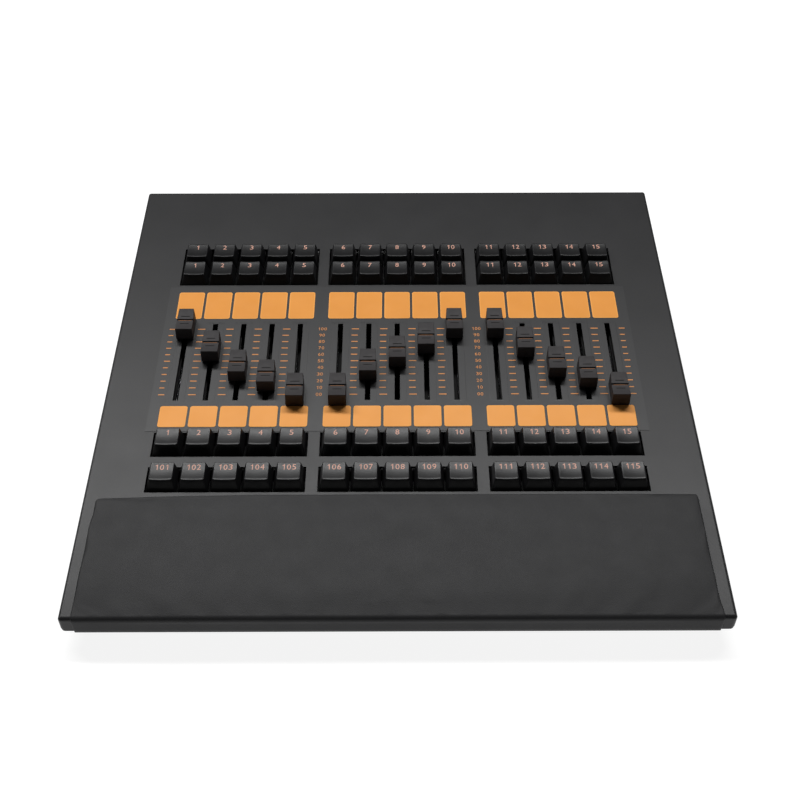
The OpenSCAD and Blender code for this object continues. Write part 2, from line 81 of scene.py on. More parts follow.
BANKS, PER_BANK = 3, 5
NUMBERS = range(1, BANKS * PER_BANK + 1)
COLUMNS = [sum(v.x for v in span(f"key_{n}")) / 2 for n in NUMBERS]
PITCH = COLUMNS[1] - COLUMNS[0]
PANEL_W = span("top_panel")[1].x * 2
PANEL_D = PANEL_DEPTH / MM
LIP = LIP_HEIGHT / MM
SLIDES = {j["child"]: j["range_m"] for j in frame["joints"] if j["name"].endswith("_slide")}
TRAVEL = (SLIDES["fader_1"][1] - SLIDES["fader_1"][0]) / MM

# Keycap, from the boxes of its nodes apart from the height of its lower edge
KEY_LOW, KEY_HIGH = span("key_1")
CAP_W = KEY_HIGH.x - KEY_LOW.x
CAP_D = KEY_HIGH.y - KEY_LOW.y
CAP_TOP = KEY_HIGH.z
CAP_BOTTOM = -1.5
FRONT_ROW = sum(v.y for v in span("front_keys_1")) / 2
SECOND_ROW = (KEY_LOW.y + KEY_HIGH.y) / 2
THIRD_ROW = span("upper_keys_1")[0].y + CAP_D / 2
BACK_ROW = span("upper_keys_1")[1].y - CAP_D / 2

# Fader slots
SLOT_W, SLOT_SPARE = 3.5, 10
KNOB_LOW, KNOB_HIGH = span("fader_1")
FADER_TOP_Y = (KNOB_LOW.y + KNOB_HIGH.y) / 2
FADER_ZERO = FADER_TOP_Y - SLIDES["fader_1"][1] / MM - TRAVEL
SLOT_Y = (FADER_ZERO - SLOT_SPARE / 2, FADER_ZERO + TRAVEL + SLOT_SPARE / 2)


def fader_y(n):
    """Where a fader rests."""
    return FADER_ZERO - SLIDES[f"fader_{n}"][0] / MM


# ---- Camera ----

CAMERA_LENS = 55.66
CAMERA_POINT = (0.7, -370.6, 579.2)
CAMERA_TURN = (-0.145, 90 - 47.385, -0.06)
CAMERA_SHIFT = (-0.0007, 0.0007)


def make_camera():
    data = bpy.data.cameras.new("camera")
    data.lens, data.sensor_width = CAMERA_LENS, 36
    data.shift_x, data.shift_y = CAMERA_SHIFT
    camera = bpy.data.objects.new("camera", data)
    bpy.context.scene.collection.objects.link(camera)
    yaw, pitch, roll = (math.radians(a) for a in CAMERA_TURN)
    turn = Matrix.Rotation(yaw, 4, "Z") @ Matrix.Rotation(pitch, 4, "X") @ Matrix.Rotation(roll, 4, "Z")
    camera.matrix_world = PANEL @ Matrix.Translation(Vector(CAMERA_POINT) * MM) @ turn
    bpy.context.scene.camera = camera


make_camera()

# ---- Materials ----


def tone(red, green, blue):
    """A display colour from 0 to 255 as a linear one."""
    parts = [c / 255 for c in (red, green, blue)]
    return (*[c / 12.92 if c <= 0.04045 else ((c + 0.055) / 1.055) ** 2.4 for c in parts], 1)


class Graph:
    """A material's nodes, added and linked by short calls. Sizes are in millimetres."""

    def __init__(self, name):
        self.made = bpy.data.materials.new(name)
        self.made.use_nodes = True
        self.nodes, self.links = self.made.node_tree.nodes, self.made.node_tree.links
        self.shader = self.nodes["Principled BSDF"]
        self.place = self.add("ShaderNodeTexCoord").outputs["Object"]

    def put(self, socket, value):
        if isinstance(value, bpy.types.NodeSocket):
            self.links.new(value, socket)
        else:
            socket.default_value = value

    def add(self, kind, values=None, **settings):
        node = self.nodes.new(kind)
        for name, value in settings.items():
            setattr(node, name, value)
        for name, value in (values or {}).items():
            self.put(node.inputs[name], value)
        return node

    def stretched(self, stretch):
        return self.add("ShaderNodeMapping", {"Vector": self.place, "Scale": stretch}).outputs[0]

    def noise(self, size, detail=3, place=None):
        values = {"Vector": place or self.place, "Scale": 1 / (size * MM), "Detail": detail}
        return self.add("ShaderNodeTexNoise", values).outputs["Fac"]

    def cells(self, size, feature="DISTANCE_TO_EDGE"):
        values = {"Vector": self.place, "Scale": 1 / (size * MM)}
        return self.add("ShaderNodeTexVoronoi", values, feature=feature).outputs["Distance"]

    def spread(self, factor, low, high, start=0.3, end=0.7):
        """The factor's middle range, stretched to lie between low and high."""
        values = {"Value": factor, "From Min": start, "From Max": end, "To Min": low, "To Max": high}
        return self.add("ShaderNodeMapRange", values).outputs["Result"]

    def mix(self, factor, first, second):
        node = self.add("ShaderNodeMix", data_type="RGBA")
        for socket, value in zip((node.inputs[0], node.inputs[6], node.inputs[7]), (factor, first, second)):
            self.put(socket, value)
        return node.outputs[2]

    def bump(self, height, depth, under=None):
        values = {"Height": height, "Distance": depth * MM, "Strength": 1.0}
        if under:
            values["Normal"] = under
        return self.add("ShaderNodeBump", values).outputs[0]

    def finish(self, **values):
        for name, value in values.items():
            self.put(self.shader.inputs[name.replace("_", " ")], value)
        return self.made


def moulded(name, dark, light, rough, grain, depth, patch=18, specular=0.5):
    """A moulded, painted or printed face: two close tones, an uneven gloss and a fine grain."""
    g = Graph(name)
    patches = g.noise(patch, 4)
    fine = g.noise(grain, 3)
    colour = g.mix(g.spread(patches, 0, 1), dark, light)
    gloss = g.spread(g.noise(patch * 0.4, 4), rough[0], rough[1])
    normal = g.bump(fine, depth)
    return g.finish(Base_Color=colour, Roughness=gloss, Normal=normal, Specular_IOR_Level=specular)


def powder_coat(name, dark, light, rough, specular=0.5):
    """Baked powder paint: an orange-peel swell with a finer pimpled grain on it."""
    g = Graph(name)
    swell = g.bump(g.noise(1.7, 2), 0.012)
    grain = g.bump(g.cells(0.55, "SMOOTH_F1"), 0.012, swell)
    colour = g.mix(g.spread(g.noise(35, 5), 0, 1), dark, light)
    colour = g.mix(g.spread(g.noise(0.5, 1), 0, 0.25), colour, tone(20, 20, 21))
    gloss = g.spread(g.noise(24, 4), rough[0], rough[1])
    return g.finish(Base_Color=colour, Roughness=gloss, Normal=grain, Specular_IOR_Level=specular)


def leather(name, dark, light, rough, specular):
    """Soft matt cover with a pebbled grain and faint creases."""
    g = Graph(name)
    creases = g.bump(g.noise(7, 3, g.stretched((1.0, 0.35, 1.0))), 0.05)
    pebbles = g.bump(g.spread(g.cells(0.9), 0, 1, 0.0, 0.35), 0.03, creases)
    pores = g.bump(g.noise(0.35, 2), 0.012, pebbles)
    colour = g.mix(g.spread(g.noise(30, 5), 0, 1), dark, light)
    gloss = g.spread(g.noise(14, 4), rough[0], rough[1])
    return g.finish(Base_Color=colour, Roughness=gloss, Normal=pores, Specular_IOR_Level=specular)


def drawn_metal(name, dark, light, rough):
    """Bright metal with fine drawing lines along it."""
    g = Graph(name)
    lines = g.noise(0.25, 3, g.stretched((1.0, 0.03, 1.0)))
    colour = g.mix(g.spread(g.noise(9, 4), 0, 1), dark, light)
    gloss = g.spread(lines, rough[0], rough[1])
    return g.finish(Base_Color=colour, Roughness=gloss, Normal=g.bump(lines, 0.004), Metallic=1.0)


def circuit(name, mask, copper, rough):
    """Solder mask over straight copper tracks."""
    g = Graph(name)
    tracks = g.add("ShaderNodeTexBrick", {"Vector": g.place, "Scale": 1 / (9 * MM), "Mortar Size": 0.05,
                                          "Color1": (0, 0, 0, 1), "Color2": (0.3, 0.3, 0.3, 1),
                                          "Mortar": (1, 1, 1, 1)}).outputs["Color"]
    colour = g.mix(tracks, mask, copper)
    gloss = g.spread(g.noise(3, 3), rough[0], rough[1])
    return g.finish(Base_Color=colour, Roughness=gloss, Normal=g.bump(tracks, 0.03))


# Each material: how it is made, its two tones, its range of roughness, and then what that kind takes
RECIPES = {
    "panel_paint": (powder_coat, tone(35, 35, 36), tone(38, 38, 39), (0.35, 0.38), 0.178),
    "tray_paint": (powder_coat, tone(34, 34, 35), tone(39, 39, 40), (0.45, 0.55)),
    # Painted shade: a near-black for the slots' cut edges and the parts seen through the openings, standing
    # in for the shade inside them
    "inner_paint": (powder_coat, tone(9, 9, 9), tone(12, 12, 12), (0.5, 0.6), 0.2),
    "rest_cover": (leather, tone(38, 38, 39), tone(41, 41, 42), (0.49, 0.53), 0.15),
    "film_grey": (moulded, tone(36, 36, 37), tone(38, 38, 39), (0.35, 0.38), 0.4, 0.004, 30, 0.205),
    "label_orange": (moulded, tone(222, 146, 62), tone(227, 151, 67), (0.5, 0.6), 0.5, 0.004, 18, 0.15),
    "label_pale": (moulded, tone(233, 158, 80), tone(238, 163, 85), (0.5, 0.6), 0.5, 0.004, 18, 0.15),
    "label_edge": (moulded, tone(238, 164, 78), tone(243, 168, 82), (0.5, 0.6), 0.5, 0.004, 18, 0.15),
    "scale_ink": (moulded, tone(210, 138, 78), tone(218, 146, 84), (0.5, 0.6), 0.3, 0.004, 6, 0.15),
    "knob_ink": (moulded, tone(150, 100, 62), tone(160, 108, 68), (0.5, 0.6), 0.3, 0.004, 6, 0.15),
    "legend_ink": (moulded, tone(196, 140, 118), tone(206, 150, 128), (0.45, 0.55), 0.3, 0.003, 6),
    "zinc_steel": (drawn_metal, tone(150, 152, 156), tone(176, 178, 182), (0.28, 0.45)),
    "spring_steel": (drawn_metal, tone(170, 170, 174), tone(196, 196, 200), (0.18, 0.3)),
    "switch_plastic": (moulded, tone(13, 13, 14), tone(17, 17, 18), (0.5, 0.6), 0.4, 0.006),
    "dust_flap": (moulded, tone(8, 8, 8), tone(11, 11, 11), (0.8, 0.9), 0.5, 0.01, 6, 0.05),
    "key_black": (moulded, tone(20, 20, 21), tone(23, 23, 24), (0.29, 0.33), 0.45, 0.004, 7, 0.205),
    # Painted highlight: the lighter tone on the caps' top edges
    "key_rim": (moulded, tone(36, 36, 38), tone(42, 42, 44), (0.42, 0.46), 0.45, 0.004, 7, 0.16),
    "knob_black": (moulded, tone(49, 47, 48), tone(54, 52, 53), (0.46, 0.54), 0.5, 0.01, 6, 0.12),
    "knob_mark": (moulded, tone(14, 13, 13), tone(18, 17, 17), (0.5, 0.6), 0.3, 0.006, 4, 0.05),
    "board_green": (circuit, tone(14, 66, 40), tone(36, 104, 62), (0.3, 0.45)),
    "board_tan": (circuit, tone(150, 124, 74), tone(172, 146, 92), (0.45, 0.6)),
    "socket_black": (moulded, tone(20, 20, 21), tone(26, 26, 27), (0.42, 0.55), 0.5, 0.012, 8),
    "socket_metal": (drawn_metal, tone(184, 184, 188), tone(206, 206, 210), (0.2, 0.34)),
    "cable_grey": (moulded, tone(120, 120, 124), tone(140, 140, 144), (0.45, 0.6), 0.6, 0.02, 10),
    "brass": (drawn_metal, tone(176, 142, 80), tone(200, 164, 96), (0.25, 0.4)),
    "screw_black": (drawn_metal, tone(52, 52, 54), tone(66, 66, 68), (0.35, 0.5)),
    "foot_rubber": (moulded, tone(22, 22, 22), tone(29, 29, 29), (0.75, 0.9), 0.5, 0.03, 9),
}
MATERIALS = {name: kind(name, *values) for name, (kind, *values) in RECIPES.items()}

# ---- Making pieces ----

SHARP = math.radians(38)


def add_piece(mesh, name, material, body="case", replaces=()):
    """Turns a bmesh in millimetres in the panel's frame into a shown piece that rides on a body."""
    data = bpy.data.meshes.new(name)
    mesh.to_mesh(data)
    mesh.free()
    data.transform(ON_PANEL)
    piece = bpy.data.objects.new(name, data)
    bpy.context.scene.collection.objects.link(piece)
    for key in [material] if isinstance(material, str) else material:
        data.materials.append(MATERIALS[key])
    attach(piece, body)
    if replaces:
        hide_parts(*replaces)
    return piece


def smooth(piece, angle=SHARP):
    piece.data.shade_smooth()
    piece.data.set_sharp_from_angle(angle=angle)


def apply_modifiers(piece):
    """Keeps what the modifiers make, and takes them off."""
    made = bpy.data.meshes.new_from_object(piece.evaluated_get(bpy.context.evaluated_depsgraph_get()))
    piece.modifiers.clear()
    piece.data = made


def shell(piece, thickness):
    solid = piece.modifiers.new("shell", "SOLIDIFY")
    solid.thickness, solid.offset = thickness * MM, -1
    solid.use_even_offset = True


def ease_edges(piece, width, segments=2, angle=40):
    """Rounds every sharp edge by a small width in millimetres."""
    bevel = piece.modifiers.new("edges", "BEVEL")
    bevel.width, bevel.segments = width * MM, segments
    bevel.limit_method, bevel.angle_limit = "ANGLE", math.radians(angle)
    bevel.harden_normals = False


def lay_weighted_normals(piece):
    weighted = piece.modifiers.new("normals", "WEIGHTED_NORMAL")
    weighted.keep_sharp = True


def holed_sheet(mesh, xs, ys, holes):
    """Flat quads between the lines in x and y, left out where a hole covers them."""
    xs, ys = sorted({round(x, 4) for x in xs}), sorted({round(y, 4) for y in ys})
    grid = {}

    def corner(i, j):
        if (i, j) not in grid:
            grid[i, j] = mesh.verts.new((xs[i], ys[j], 0))
        return grid[i, j]

    for i in range(len(xs) - 1):
        for j in range(len(ys) - 1):
            x, y = (xs[i] + xs[i + 1]) / 2, (ys[j] + ys[j + 1]) / 2
            if not any(x0 < x < x1 and y0 < y < y1 for x0, x1, y0, y1 in holes):
                mesh.faces.new([corner(i, j), corner(i + 1, j), corner(i + 1, j + 1), corner(i, j + 1)])


def add_box(mesh, low, high):
    """A box with its own corners."""
    xs, ys, zs = zip(low, high)
    v = [mesh.verts.new((x, y, z)) for z in zs for y in ys for x in xs]
    for a, b, c, d in ((0, 2, 3, 1), (4, 5, 7, 6), (0, 1, 5, 4), (1, 3, 7, 5), (3, 2, 6, 7), (2, 0, 4, 6)):
        mesh.faces.new([v[a], v[b], v[c], v[d]])


CORNER_STEPS = 5


def rounded_ring(x0, x1, y0, y1, radius, extra=0):
    """Points round a rectangle with rounded corners, with extra ones along each side."""
    centres = ((x1 - radius, y1 - radius), (x0 + radius, y1 - radius),
               (x0 + radius, y0 + radius), (x1 - radius, y0 + radius))
    ring = []
    for k, (cx, cy) in enumerate(centres):
        arc = [math.pi / 2 * (k + s / CORNER_STEPS) for s in range(CORNER_STEPS + 1)]
        arc = [(cx + radius * math.cos(a), cy + radius * math.sin(a)) for a in arc]
        if ring:
            ring += between(ring[-1], arc[0], extra)
        ring += arc
    return ring + between(ring[-1], ring[0], extra)


def between(a, b, count):
    """Points that share out the stretch from a to b, without its ends."""
    return [tuple(p + (q - p) * (k + 1) / (count + 1) for p, q in zip(a, b)) for k in range(count)]


def loft(mesh, rings, close_end=True, index=0):
    """Joins rings of points with quads, and closes the first and usually the last of them."""
    loops = [[mesh.verts.new(p) for p in ring] for ring in rings]
    count = len(loops[0])
    for low, high in zip(loops, loops[1:]):
        for k in range(count):
            n = (k + 1) % count
            mesh.faces.new([low[k], low[n], high[n], high[k]]).material_index = index
    mesh.faces.new(loops[0][::-1]).material_index = index
    if close_end:
        mesh.faces.new(loops[-1]).material_index = index
    return loops


# ---- Case: the folded top panel ----

WELL_SIDE, WELL_END = 0.75, 0.6
BEND = 2.0
LIP_CORNER = 2.6
BEND_STEPS = 6
SHEET, PANEL_EASE = 1.5, 0.3
# How far in from the bend the extra grid lines of the flat top lie
RIM_LINES = (0, 0.25, 0.5, 1.05, 1.8)
# A face of the panel that looks up has at least this much of its normal upright
LOOKS_UP = 0.7


def wells():
    """The key openings as x0, x1, y0, y1."""
    found = []
    for b in range(1, BANKS + 1):
        low, high = span(f"front_keys_{b}")
        left, right = low.x - WELL_SIDE, high.x + WELL_SIDE
        for y0, y1 in ((FRONT_ROW, FRONT_ROW), (SECOND_ROW, SECOND_ROW), (THIRD_ROW, BACK_ROW)):
            found.append((left, right, y0 - CAP_D / 2 - WELL_END, y1 + CAP_D / 2 + WELL_END))
    return found


def slots():
    """The fader openings as x0, x1, y0, y1."""
    return [(x - SLOT_W / 2, x + SLOT_W / 2, *SLOT_Y) for x in COLUMNS]


def spokes_at(x, y):
    """Ways out at a point of the flat top's border, each with how far it is along the rim from a corner.

    A point on a side has one way out, and a corner has a quarter turn of them.
    """
    from_side, from_end = PANEL_W / 2 - BEND - abs(x), min(y, PANEL_D - y) - BEND
    side = math.copysign(1, x) if from_side < 1e-3 else 0
    end = math.copysign(1, y - PANEL_D / 2) if from_end < 1e-3 else 0
    middle = math.atan2(end, side)
    if not side or not end:
        return [(middle, BEND * math.pi / 4 + max(from_side, from_end))]
    turns = [math.pi / 2 * (k / BEND_STEPS - 0.5) for k in range(BEND_STEPS + 1)]
    return [(middle + turn, BEND * abs(turn)) for turn in turns]


def lip_foot(along):
    """Height of the lip's lower edge, which rises in a curve to each upright corner."""
    return LIP_CORNER - LIP - math.sqrt(LIP_CORNER ** 2 - max(0.0, LIP_CORNER - along) ** 2)


def fold_rim(mesh):
    """Bends the flat sheet's border down round a radius, and on into the lip."""
    start = min((v for v in mesh.verts), key=lambda v: (v.co.y, v.co.x))
    border, corner = [start], start
    edge = max((e for e in start.link_edges if e.is_boundary), key=lambda e: e.other_vert(start).co.x)
    while True:
        corner = edge.other_vert(corner)
        if corner is start:
            break
        border.append(corner)
        edge = next(e for e in corner.link_edges if e.is_boundary and e is not edge)
    spokes = [(v, *spoke) for v in border for spoke in spokes_at(v.co.x, v.co.y)]
    last = [spoke[0] for spoke in spokes]
    bends = [math.pi / 2 * k / BEND_STEPS for k in range(1, BEND_STEPS + 1)]
    for a in [*bends, None]:
        ring = []
        for v, way, along in spokes:
            out = BEND * (math.sin(a) if a else 1)
            z = -BEND * (1 - math.cos(a)) if a else lip_foot(along)
            ring.append(mesh.verts.new((v.co.x + out * math.cos(way), v.co.y + out * math.sin(way), z)))
        for k, v in enumerate(ring):
            n = (k + 1) % len(ring)
            corners = [last[k], v, ring[n], last[n]]
            mesh.faces.new(corners[:3] if last[k] is last[n] else corners)
        last = ring


def darken_slots(panel):
    """Paints the slots' cut edges near-black, a painted shade for the dark inside of the slots."""
    back = ON_PANEL.inverted()
    for face in panel.data.polygons:
        at = back @ face.center
        if face.normal.z < LOOKS_UP and SLOT_Y[0] - 1 < at.y < SLOT_Y[1] + 1:
            if any(abs(at.x - c) < SLOT_W / 2 + 0.5 for c in COLUMNS):
                face.material_index = 1


def make_top_panel():
    holes = wells() + slots()
    near = [BEND + d for d in RIM_LINES]
    xs = [x for h in holes for x in h[:2]] + [s * (PANEL_W / 2 - d) for s in (-1, 1) for d in near]
    ys = [y for h in holes for y in h[2:]] + [y for d in near for y in (d, PANEL_D - d)]
    mesh = bmesh.new()
    holed_sheet(mesh, xs, ys, holes)
    fold_rim(mesh)
    bmesh.ops.recalc_face_normals(mesh, faces=mesh.faces)
    panel = add_piece(mesh, "top_panel_sheet", ["panel_paint", "inner_paint"], replaces=["top_panel"])
    shell(panel, SHEET)
    ease_edges(panel, PANEL_EASE)
    apply_modifiers(panel)
    # Painted shade on the slots' cut edges
    darken_slots(panel)
    smooth(panel)
    lay_weighted_normals(panel)


make_top_panel()

# ---- Case: the palm rest ----

REST_LOW, REST_HIGH = span("palm_rest")
REST_HALF = REST_HIGH.x
FLAP = -REST_LOW.y
REST_TOP_RUN = REST_HIGH.y - BEND
BEND_RUN = BEND * math.pi / 2
REST_RUN = REST_TOP_RUN + BEND_RUN + LIP - BEND
REST_CORNER, REST_EDGE = 2.6, 1.1
SWELL = 0.45
CLOTH_MASS, CLOTH_PRESSURE, CLOTH_SPARE = 0.3, 0.8, -0.0005
CLOTH_QUALITY, CLOTH_FRAMES = 5, 20
# How far in from the outline the closer grid lines lie, the grid's step across, and the lowest line down
REST_EASE = (0, 0.12, 0.35, 0.7, 1.1, 1.8, 2.6, 4.2)
REST_STEP, REST_FOOT = 3.4, 3
# Stretches of the pad's run, with the grid's step in each
REST_STOPS = ((REST_EASE[-1], REST_TOP_RUN - 9, 3.2), (REST_TOP_RUN - 9, REST_TOP_RUN - 1, 1.4),
              (REST_TOP_RUN - 1, REST_TOP_RUN + BEND_RUN + 1, 0.5),
              (REST_TOP_RUN + BEND_RUN + 1, REST_RUN - REST_FOOT, 1.0))
# Between these distances from an end, the pad's depth goes from that of the middle to that of the end
END_FADE = (55, 4)
# Depths over the bend and down the lip, as parts of the flap's: at the ends, more in the middle, unevenness
OVER_END, OVER_MORE, OVER_UNEVEN, OVER_WAVE = 0.62, 0.5, 0.12, 26
DOWN_LIP = 0.72
# The pad thins towards the bend from this far before it at the ends, and from so much less in the middle
THIN_RUN, THIN_RUN_LESS = 34, 24
SKIN = 0.02
# The cut of the left and the right end: how far in on average, how uneven, the wave's length, its seed,
# and a step that lasts over the run until it fades between two distances from the back
LEFT_CUT = (0.4, 0.25, 20, 1.0, 0.8, 16, 18.5)
RIGHT_CUT = (0.3, 0.2, 24, 2.0, 1.3, REST_TOP_RUN - 12, REST_TOP_RUN)
# The cut of the back edge, and how far it bows in at the left and the right corner
BACK_CUT, BACK_UNEVEN, BACK_WAVE = 0.2, 0.15, 30
LEFT_BOW, RIGHT_BOW = 2.8, 0.6
CUT_REACH = 30


def eased(value, low=0.0, high=1.0):
    """Rises smoothly from 0 to 1 while the value goes from low to high."""
    t = min(1.0, max(0.0, (value - low) / (high - low)))
    return t * t * (3 - 2 * t)


def wander(value, size, seed):
    """A slow wobble between about -1 and 1."""
    return noise.noise(Vector((value / size, seed, 0.5))) * 1.6


def rest_base(s):
    """A point under the pad, a run from its back edge over the bend and down the lip, and the way out."""
    if s < REST_TOP_RUN:
        return (REST_HIGH.y - s, 0.0), (0.0, 1.0)
    a = (s - REST_TOP_RUN) / BEND
    if a < math.pi / 2:
        return (BEND * (1 - math.sin(a)), BEND * (math.cos(a) - 1)), (-math.sin(a), math.cos(a))
    return (0.0, BEND_RUN + REST_TOP_RUN - BEND - s), (-1.0, 0.0)


def rest_depth(x, s, edge):
    """The pad's thickness: full on top, thin and uneven where it is pulled over the bend, thin below."""
    thick = REST_HIGH.z - SWELL
    middle = 1 - eased(abs(x), REST_HALF - END_FADE[0], REST_HALF - END_FADE[1])
    over = FLAP * (OVER_END + OVER_MORE * middle + OVER_UNEVEN * wander(x, OVER_WAVE, 4.0))
    thinning = REST_TOP_RUN - THIN_RUN + THIN_RUN_LESS * middle
    top = thick + (over - thick) * eased(s, thinning, REST_TOP_RUN + 0.6)
    depth = top + (DOWN_LIP * FLAP - top) * eased(s, REST_TOP_RUN + 0.6, REST_TOP_RUN + BEND_RUN + 2)
    fall = 1 - min(1.0, edge / REST_EDGE)
    return max(SKIN, depth * math.sqrt(max(0.0, 1 - fall * fall)))


def rest_outline(x, s):
    """Moves a point of the flat pad in to the rounded, slightly uneven outline it was cut to."""
    dx, ds = REST_HALF - abs(x), min(s, REST_RUN - s)
    if dx < REST_CORNER and ds < REST_CORNER:
        a, b = 1 - dx / REST_CORNER, 1 - ds / REST_CORNER
        pull = max(a, b) / math.hypot(a, b) if a or b else 0
        dx, ds = REST_CORNER * (1 - a * pull), REST_CORNER * (1 - b * pull)
    near_side, near_end = max(0.0, 1 - dx / CUT_REACH), max(0.0, 1 - ds / CUT_REACH)
    cut, uneven, wave, seed, step, start, end = LEFT_CUT if x < 0 else RIGHT_CUT
    side_in = cut + uneven * wander(s, wave, seed) + step * (1 - eased(s, start, end))
    dx += max(0.0, side_in) * near_side
    if s < REST_RUN / 2:
        bow = (LEFT_BOW if x < 0 else RIGHT_BOW) * (abs(x) / REST_HALF) ** 3
        ds += max(0.0, BACK_CUT + bow + BACK_UNEVEN * wander(x, BACK_WAVE, 3.0)) * near_end
    return math.copysign(REST_HALF - dx, x), ds if s < REST_RUN / 2 else REST_RUN - ds


def rest_lines():
    """Grid lines across the pad and along its run, closer at the outline and over the bend."""
    inner = REST_HALF - REST_EASE[-1]
    count = round(2 * inner / REST_STEP)
    xs = [inner * (2 * k / count - 1) for k in range(count + 1)]
    xs += [side * (REST_HALF - e) for side in (-1, 1) for e in REST_EASE[:-1]]
    runs = [end for e in REST_EASE[:-1] for end in (e, REST_RUN - e) if e < REST_FOOT]
    for start, end, step in REST_STOPS:
        count = round((end - start) / step)
        runs += [start + (end - start) * k / count for k in range(count + 1)]
    return sorted({round(x, 3) for x in xs}), sorted({round(s, 3) for s in runs})


def rest_mesh():
    """The pad as a closed skin, and the numbers of the points that stay where they are."""
    xs, runs = rest_lines()
    mesh, skins, held = bmesh.new(), [], []
    for upper in (True, False):
        skin = {}
        for i, x in enumerate(xs):
            for j, s in enumerate(runs):
                edge = min(REST_HALF - abs(x), s, REST_RUN - s)
                if edge < 1e-6 and skins:
                    skin[i, j] = skins[0][i, j]
                    continue
                px, ps = rest_outline(x, s)
                (y, z), (ny, nz) = rest_base(ps)
                depth = rest_depth(px, ps, edge) if upper else SKIN
                skin[i, j] = mesh.verts.new((px, y + ny * depth, z + nz * depth))
                if not upper or edge < 0.5 or s > REST_TOP_RUN:
                    held.append(len(mesh.verts) - 1)
        for i in range(len(xs) - 1):
            for j in range(len(runs) - 1):
                corners = [skin[i, j], skin[i + 1, j], skin[i + 1, j + 1], skin[i, j + 1]]
                mesh.faces.new(corners[::-1] if upper else corners)
        skins.append(skin)
    return mesh, held


def swell(piece, held, cap):
    """Fills a pad with a short cloth simulation, and keeps its shape. It rises by the cap, in mm, at most."""
    before = [v.co.copy() for v in piece.data.vertices]
    piece.vertex_groups.new(name="held").add(held, 1.0, "REPLACE")
    cloth = piece.modifiers.new("cloth", "CLOTH")
    cloth.settings.quality = CLOTH_QUALITY
    cloth.settings.mass = CLOTH_MASS
    cloth.settings.use_pressure = True
    cloth.settings.uniform_pressure_force = CLOTH_PRESSURE
    cloth.settings.shrink_min = CLOTH_SPARE
    cloth.settings.vertex_group_mass = "held"
    cloth.settings.effector_weights.gravity = 0
    cloth.collision_settings.use_collision = False
    cloth.point_cache.frame_start, cloth.point_cache.frame_end = 1, CLOTH_FRAMES
    for step in range(1, CLOTH_FRAMES + 1):
        bpy.context.scene.frame_set(step)
    apply_modifiers(piece)
    piece.vertex_groups.clear()
    for v, start in zip(piece.data.vertices, before):
        move = v.co - start
        if move.length > 1e-9:
            v.co = start + move.normalized() * cap * MM * math.tanh(move.length / (cap * MM))
    bpy.context.scene.frame_set(1)


def make_palm_rest():
    mesh, held = rest_mesh()
    piece = add_piece(mesh, "palm_rest_cover", "rest_cover", replaces=["palm_rest"])
    swell(piece, held, SWELL)
    finer = piece.modifiers.new("finer", "SUBSURF")
    finer.levels = finer.render_levels = 1
    apply_modifiers(piece)
    piece.data.shade_smooth()


make_palm_rest()

# ---- Case: the printed film and its writing fields ----

FILM_LOW, FILM_HIGH = span("control_film")
FILM_TOP = FILM_HIGH.z
FILM_SKIN = 0.14
PAD_W, PAD_SPARE, PAD_STEP, PAD_RISE = 12.4, 1.2, 0.45, 0.05


def make_film():
    """The film, a little raised in a field round each slot."""
    holes = slots()
    half, end = PAD_W / 2, PAD_SPARE
    xs = [FILM_LOW.x, FILM_HIGH.x] + [x for h in holes for x in h[:2]]
    xs += [c + s * w for c in COLUMNS for s in (-1, 1) for w in (half, half - PAD_STEP)]
    ys = [FILM_LOW.y, FILM_HIGH.y, *SLOT_Y]
    ys += [SLOT_Y[0] - e for e in (end, end - PAD_STEP)] + [SLOT_Y[1] + e for e in (end, end - PAD_STEP)]
    mesh = bmesh.new()
    holed_sheet(mesh, xs, ys, holes)
    for v in mesh.verts:
        inside = SLOT_Y[0] - end + PAD_STEP - 0.01 < v.co.y < SLOT_Y[1] + end - PAD_STEP + 0.01
        if inside and any(abs(v.co.x - c) < half - PAD_STEP + 0.01 for c in COLUMNS):
            v.co.z = PAD_RISE
    for v in mesh.verts:
        v.co.z += FILM_TOP - PAD_RISE
    piece = add_piece(mesh, "control_film_sheet", "film_grey", replaces=["control_film"])
    shell(piece, FILM_SKIN)
    apply_modifiers(piece)


LOWER_FIELD_D, UPPER_FIELD_D = 17.6, 26.3
FIELD_CORNER, FIELD_BORDER, BORDER_CORNER = 1.5, 0.55, 1.1
# How far in from the field's outline and how far below its top each ring of its edge lies
FIELD_EDGE = ((0, 0.03), (0.05, 0))


def label_spans():
    """The lower and the upper writing fields as y0, y1."""
    low, high = span("label_fields")
    return (low.y, low.y + LOWER_FIELD_D), (high.y - UPPER_FIELD_D, high.y)


def make_labels():
    """Printed fields with a narrow lighter border, the lower ones in a paler ink."""
    low, high = span("label_fields")
    half = COLUMNS[0] - low.x
    levels = [(0, low.z, FIELD_CORNER)]
    levels += [(inset, high.z - drop, FIELD_CORNER) for inset, drop in FIELD_EDGE]
    levels.append((FIELD_BORDER, high.z, BORDER_CORNER))
    mesh = bmesh.new()
    for c in COLUMNS:
        for y0, y1 in label_spans():
            rings = []
            for inset, z, corner in levels:
                left, right = c - half + inset, c + half - inset
                ring = rounded_ring(left, right, y0 + inset, y1 - inset, corner)
                rings.append([(x, y, z) for x, y in ring])
            loops = loft(mesh, rings, close_end=False, index=1)
            mesh.faces.new(loops[-1]).material_index = 0 if y0 > FADER_ZERO else 2
    shades = ["label_orange", "label_edge", "label_pale"]
    piece = add_piece(mesh, "label_prints", shades, replaces=["label_fields"])
    smooth(piece)


make_film()
make_labels()

# ---- Lettering ----

INK = 0.03
DIGIT_W, DIGIT_STEP = 0.6, 0.78
# The outline of a narrow 1, and the x that is its middle
ONE = ((0.4, 0), (0.52, 0), (0.52, 1), (0.44, 1), (0.36, 0.9),
       (0.2, 0.8), (0.2, 0.68), (0.31, 0.72), (0.4, 0.79))
ONE_MIDDLE = 0.38


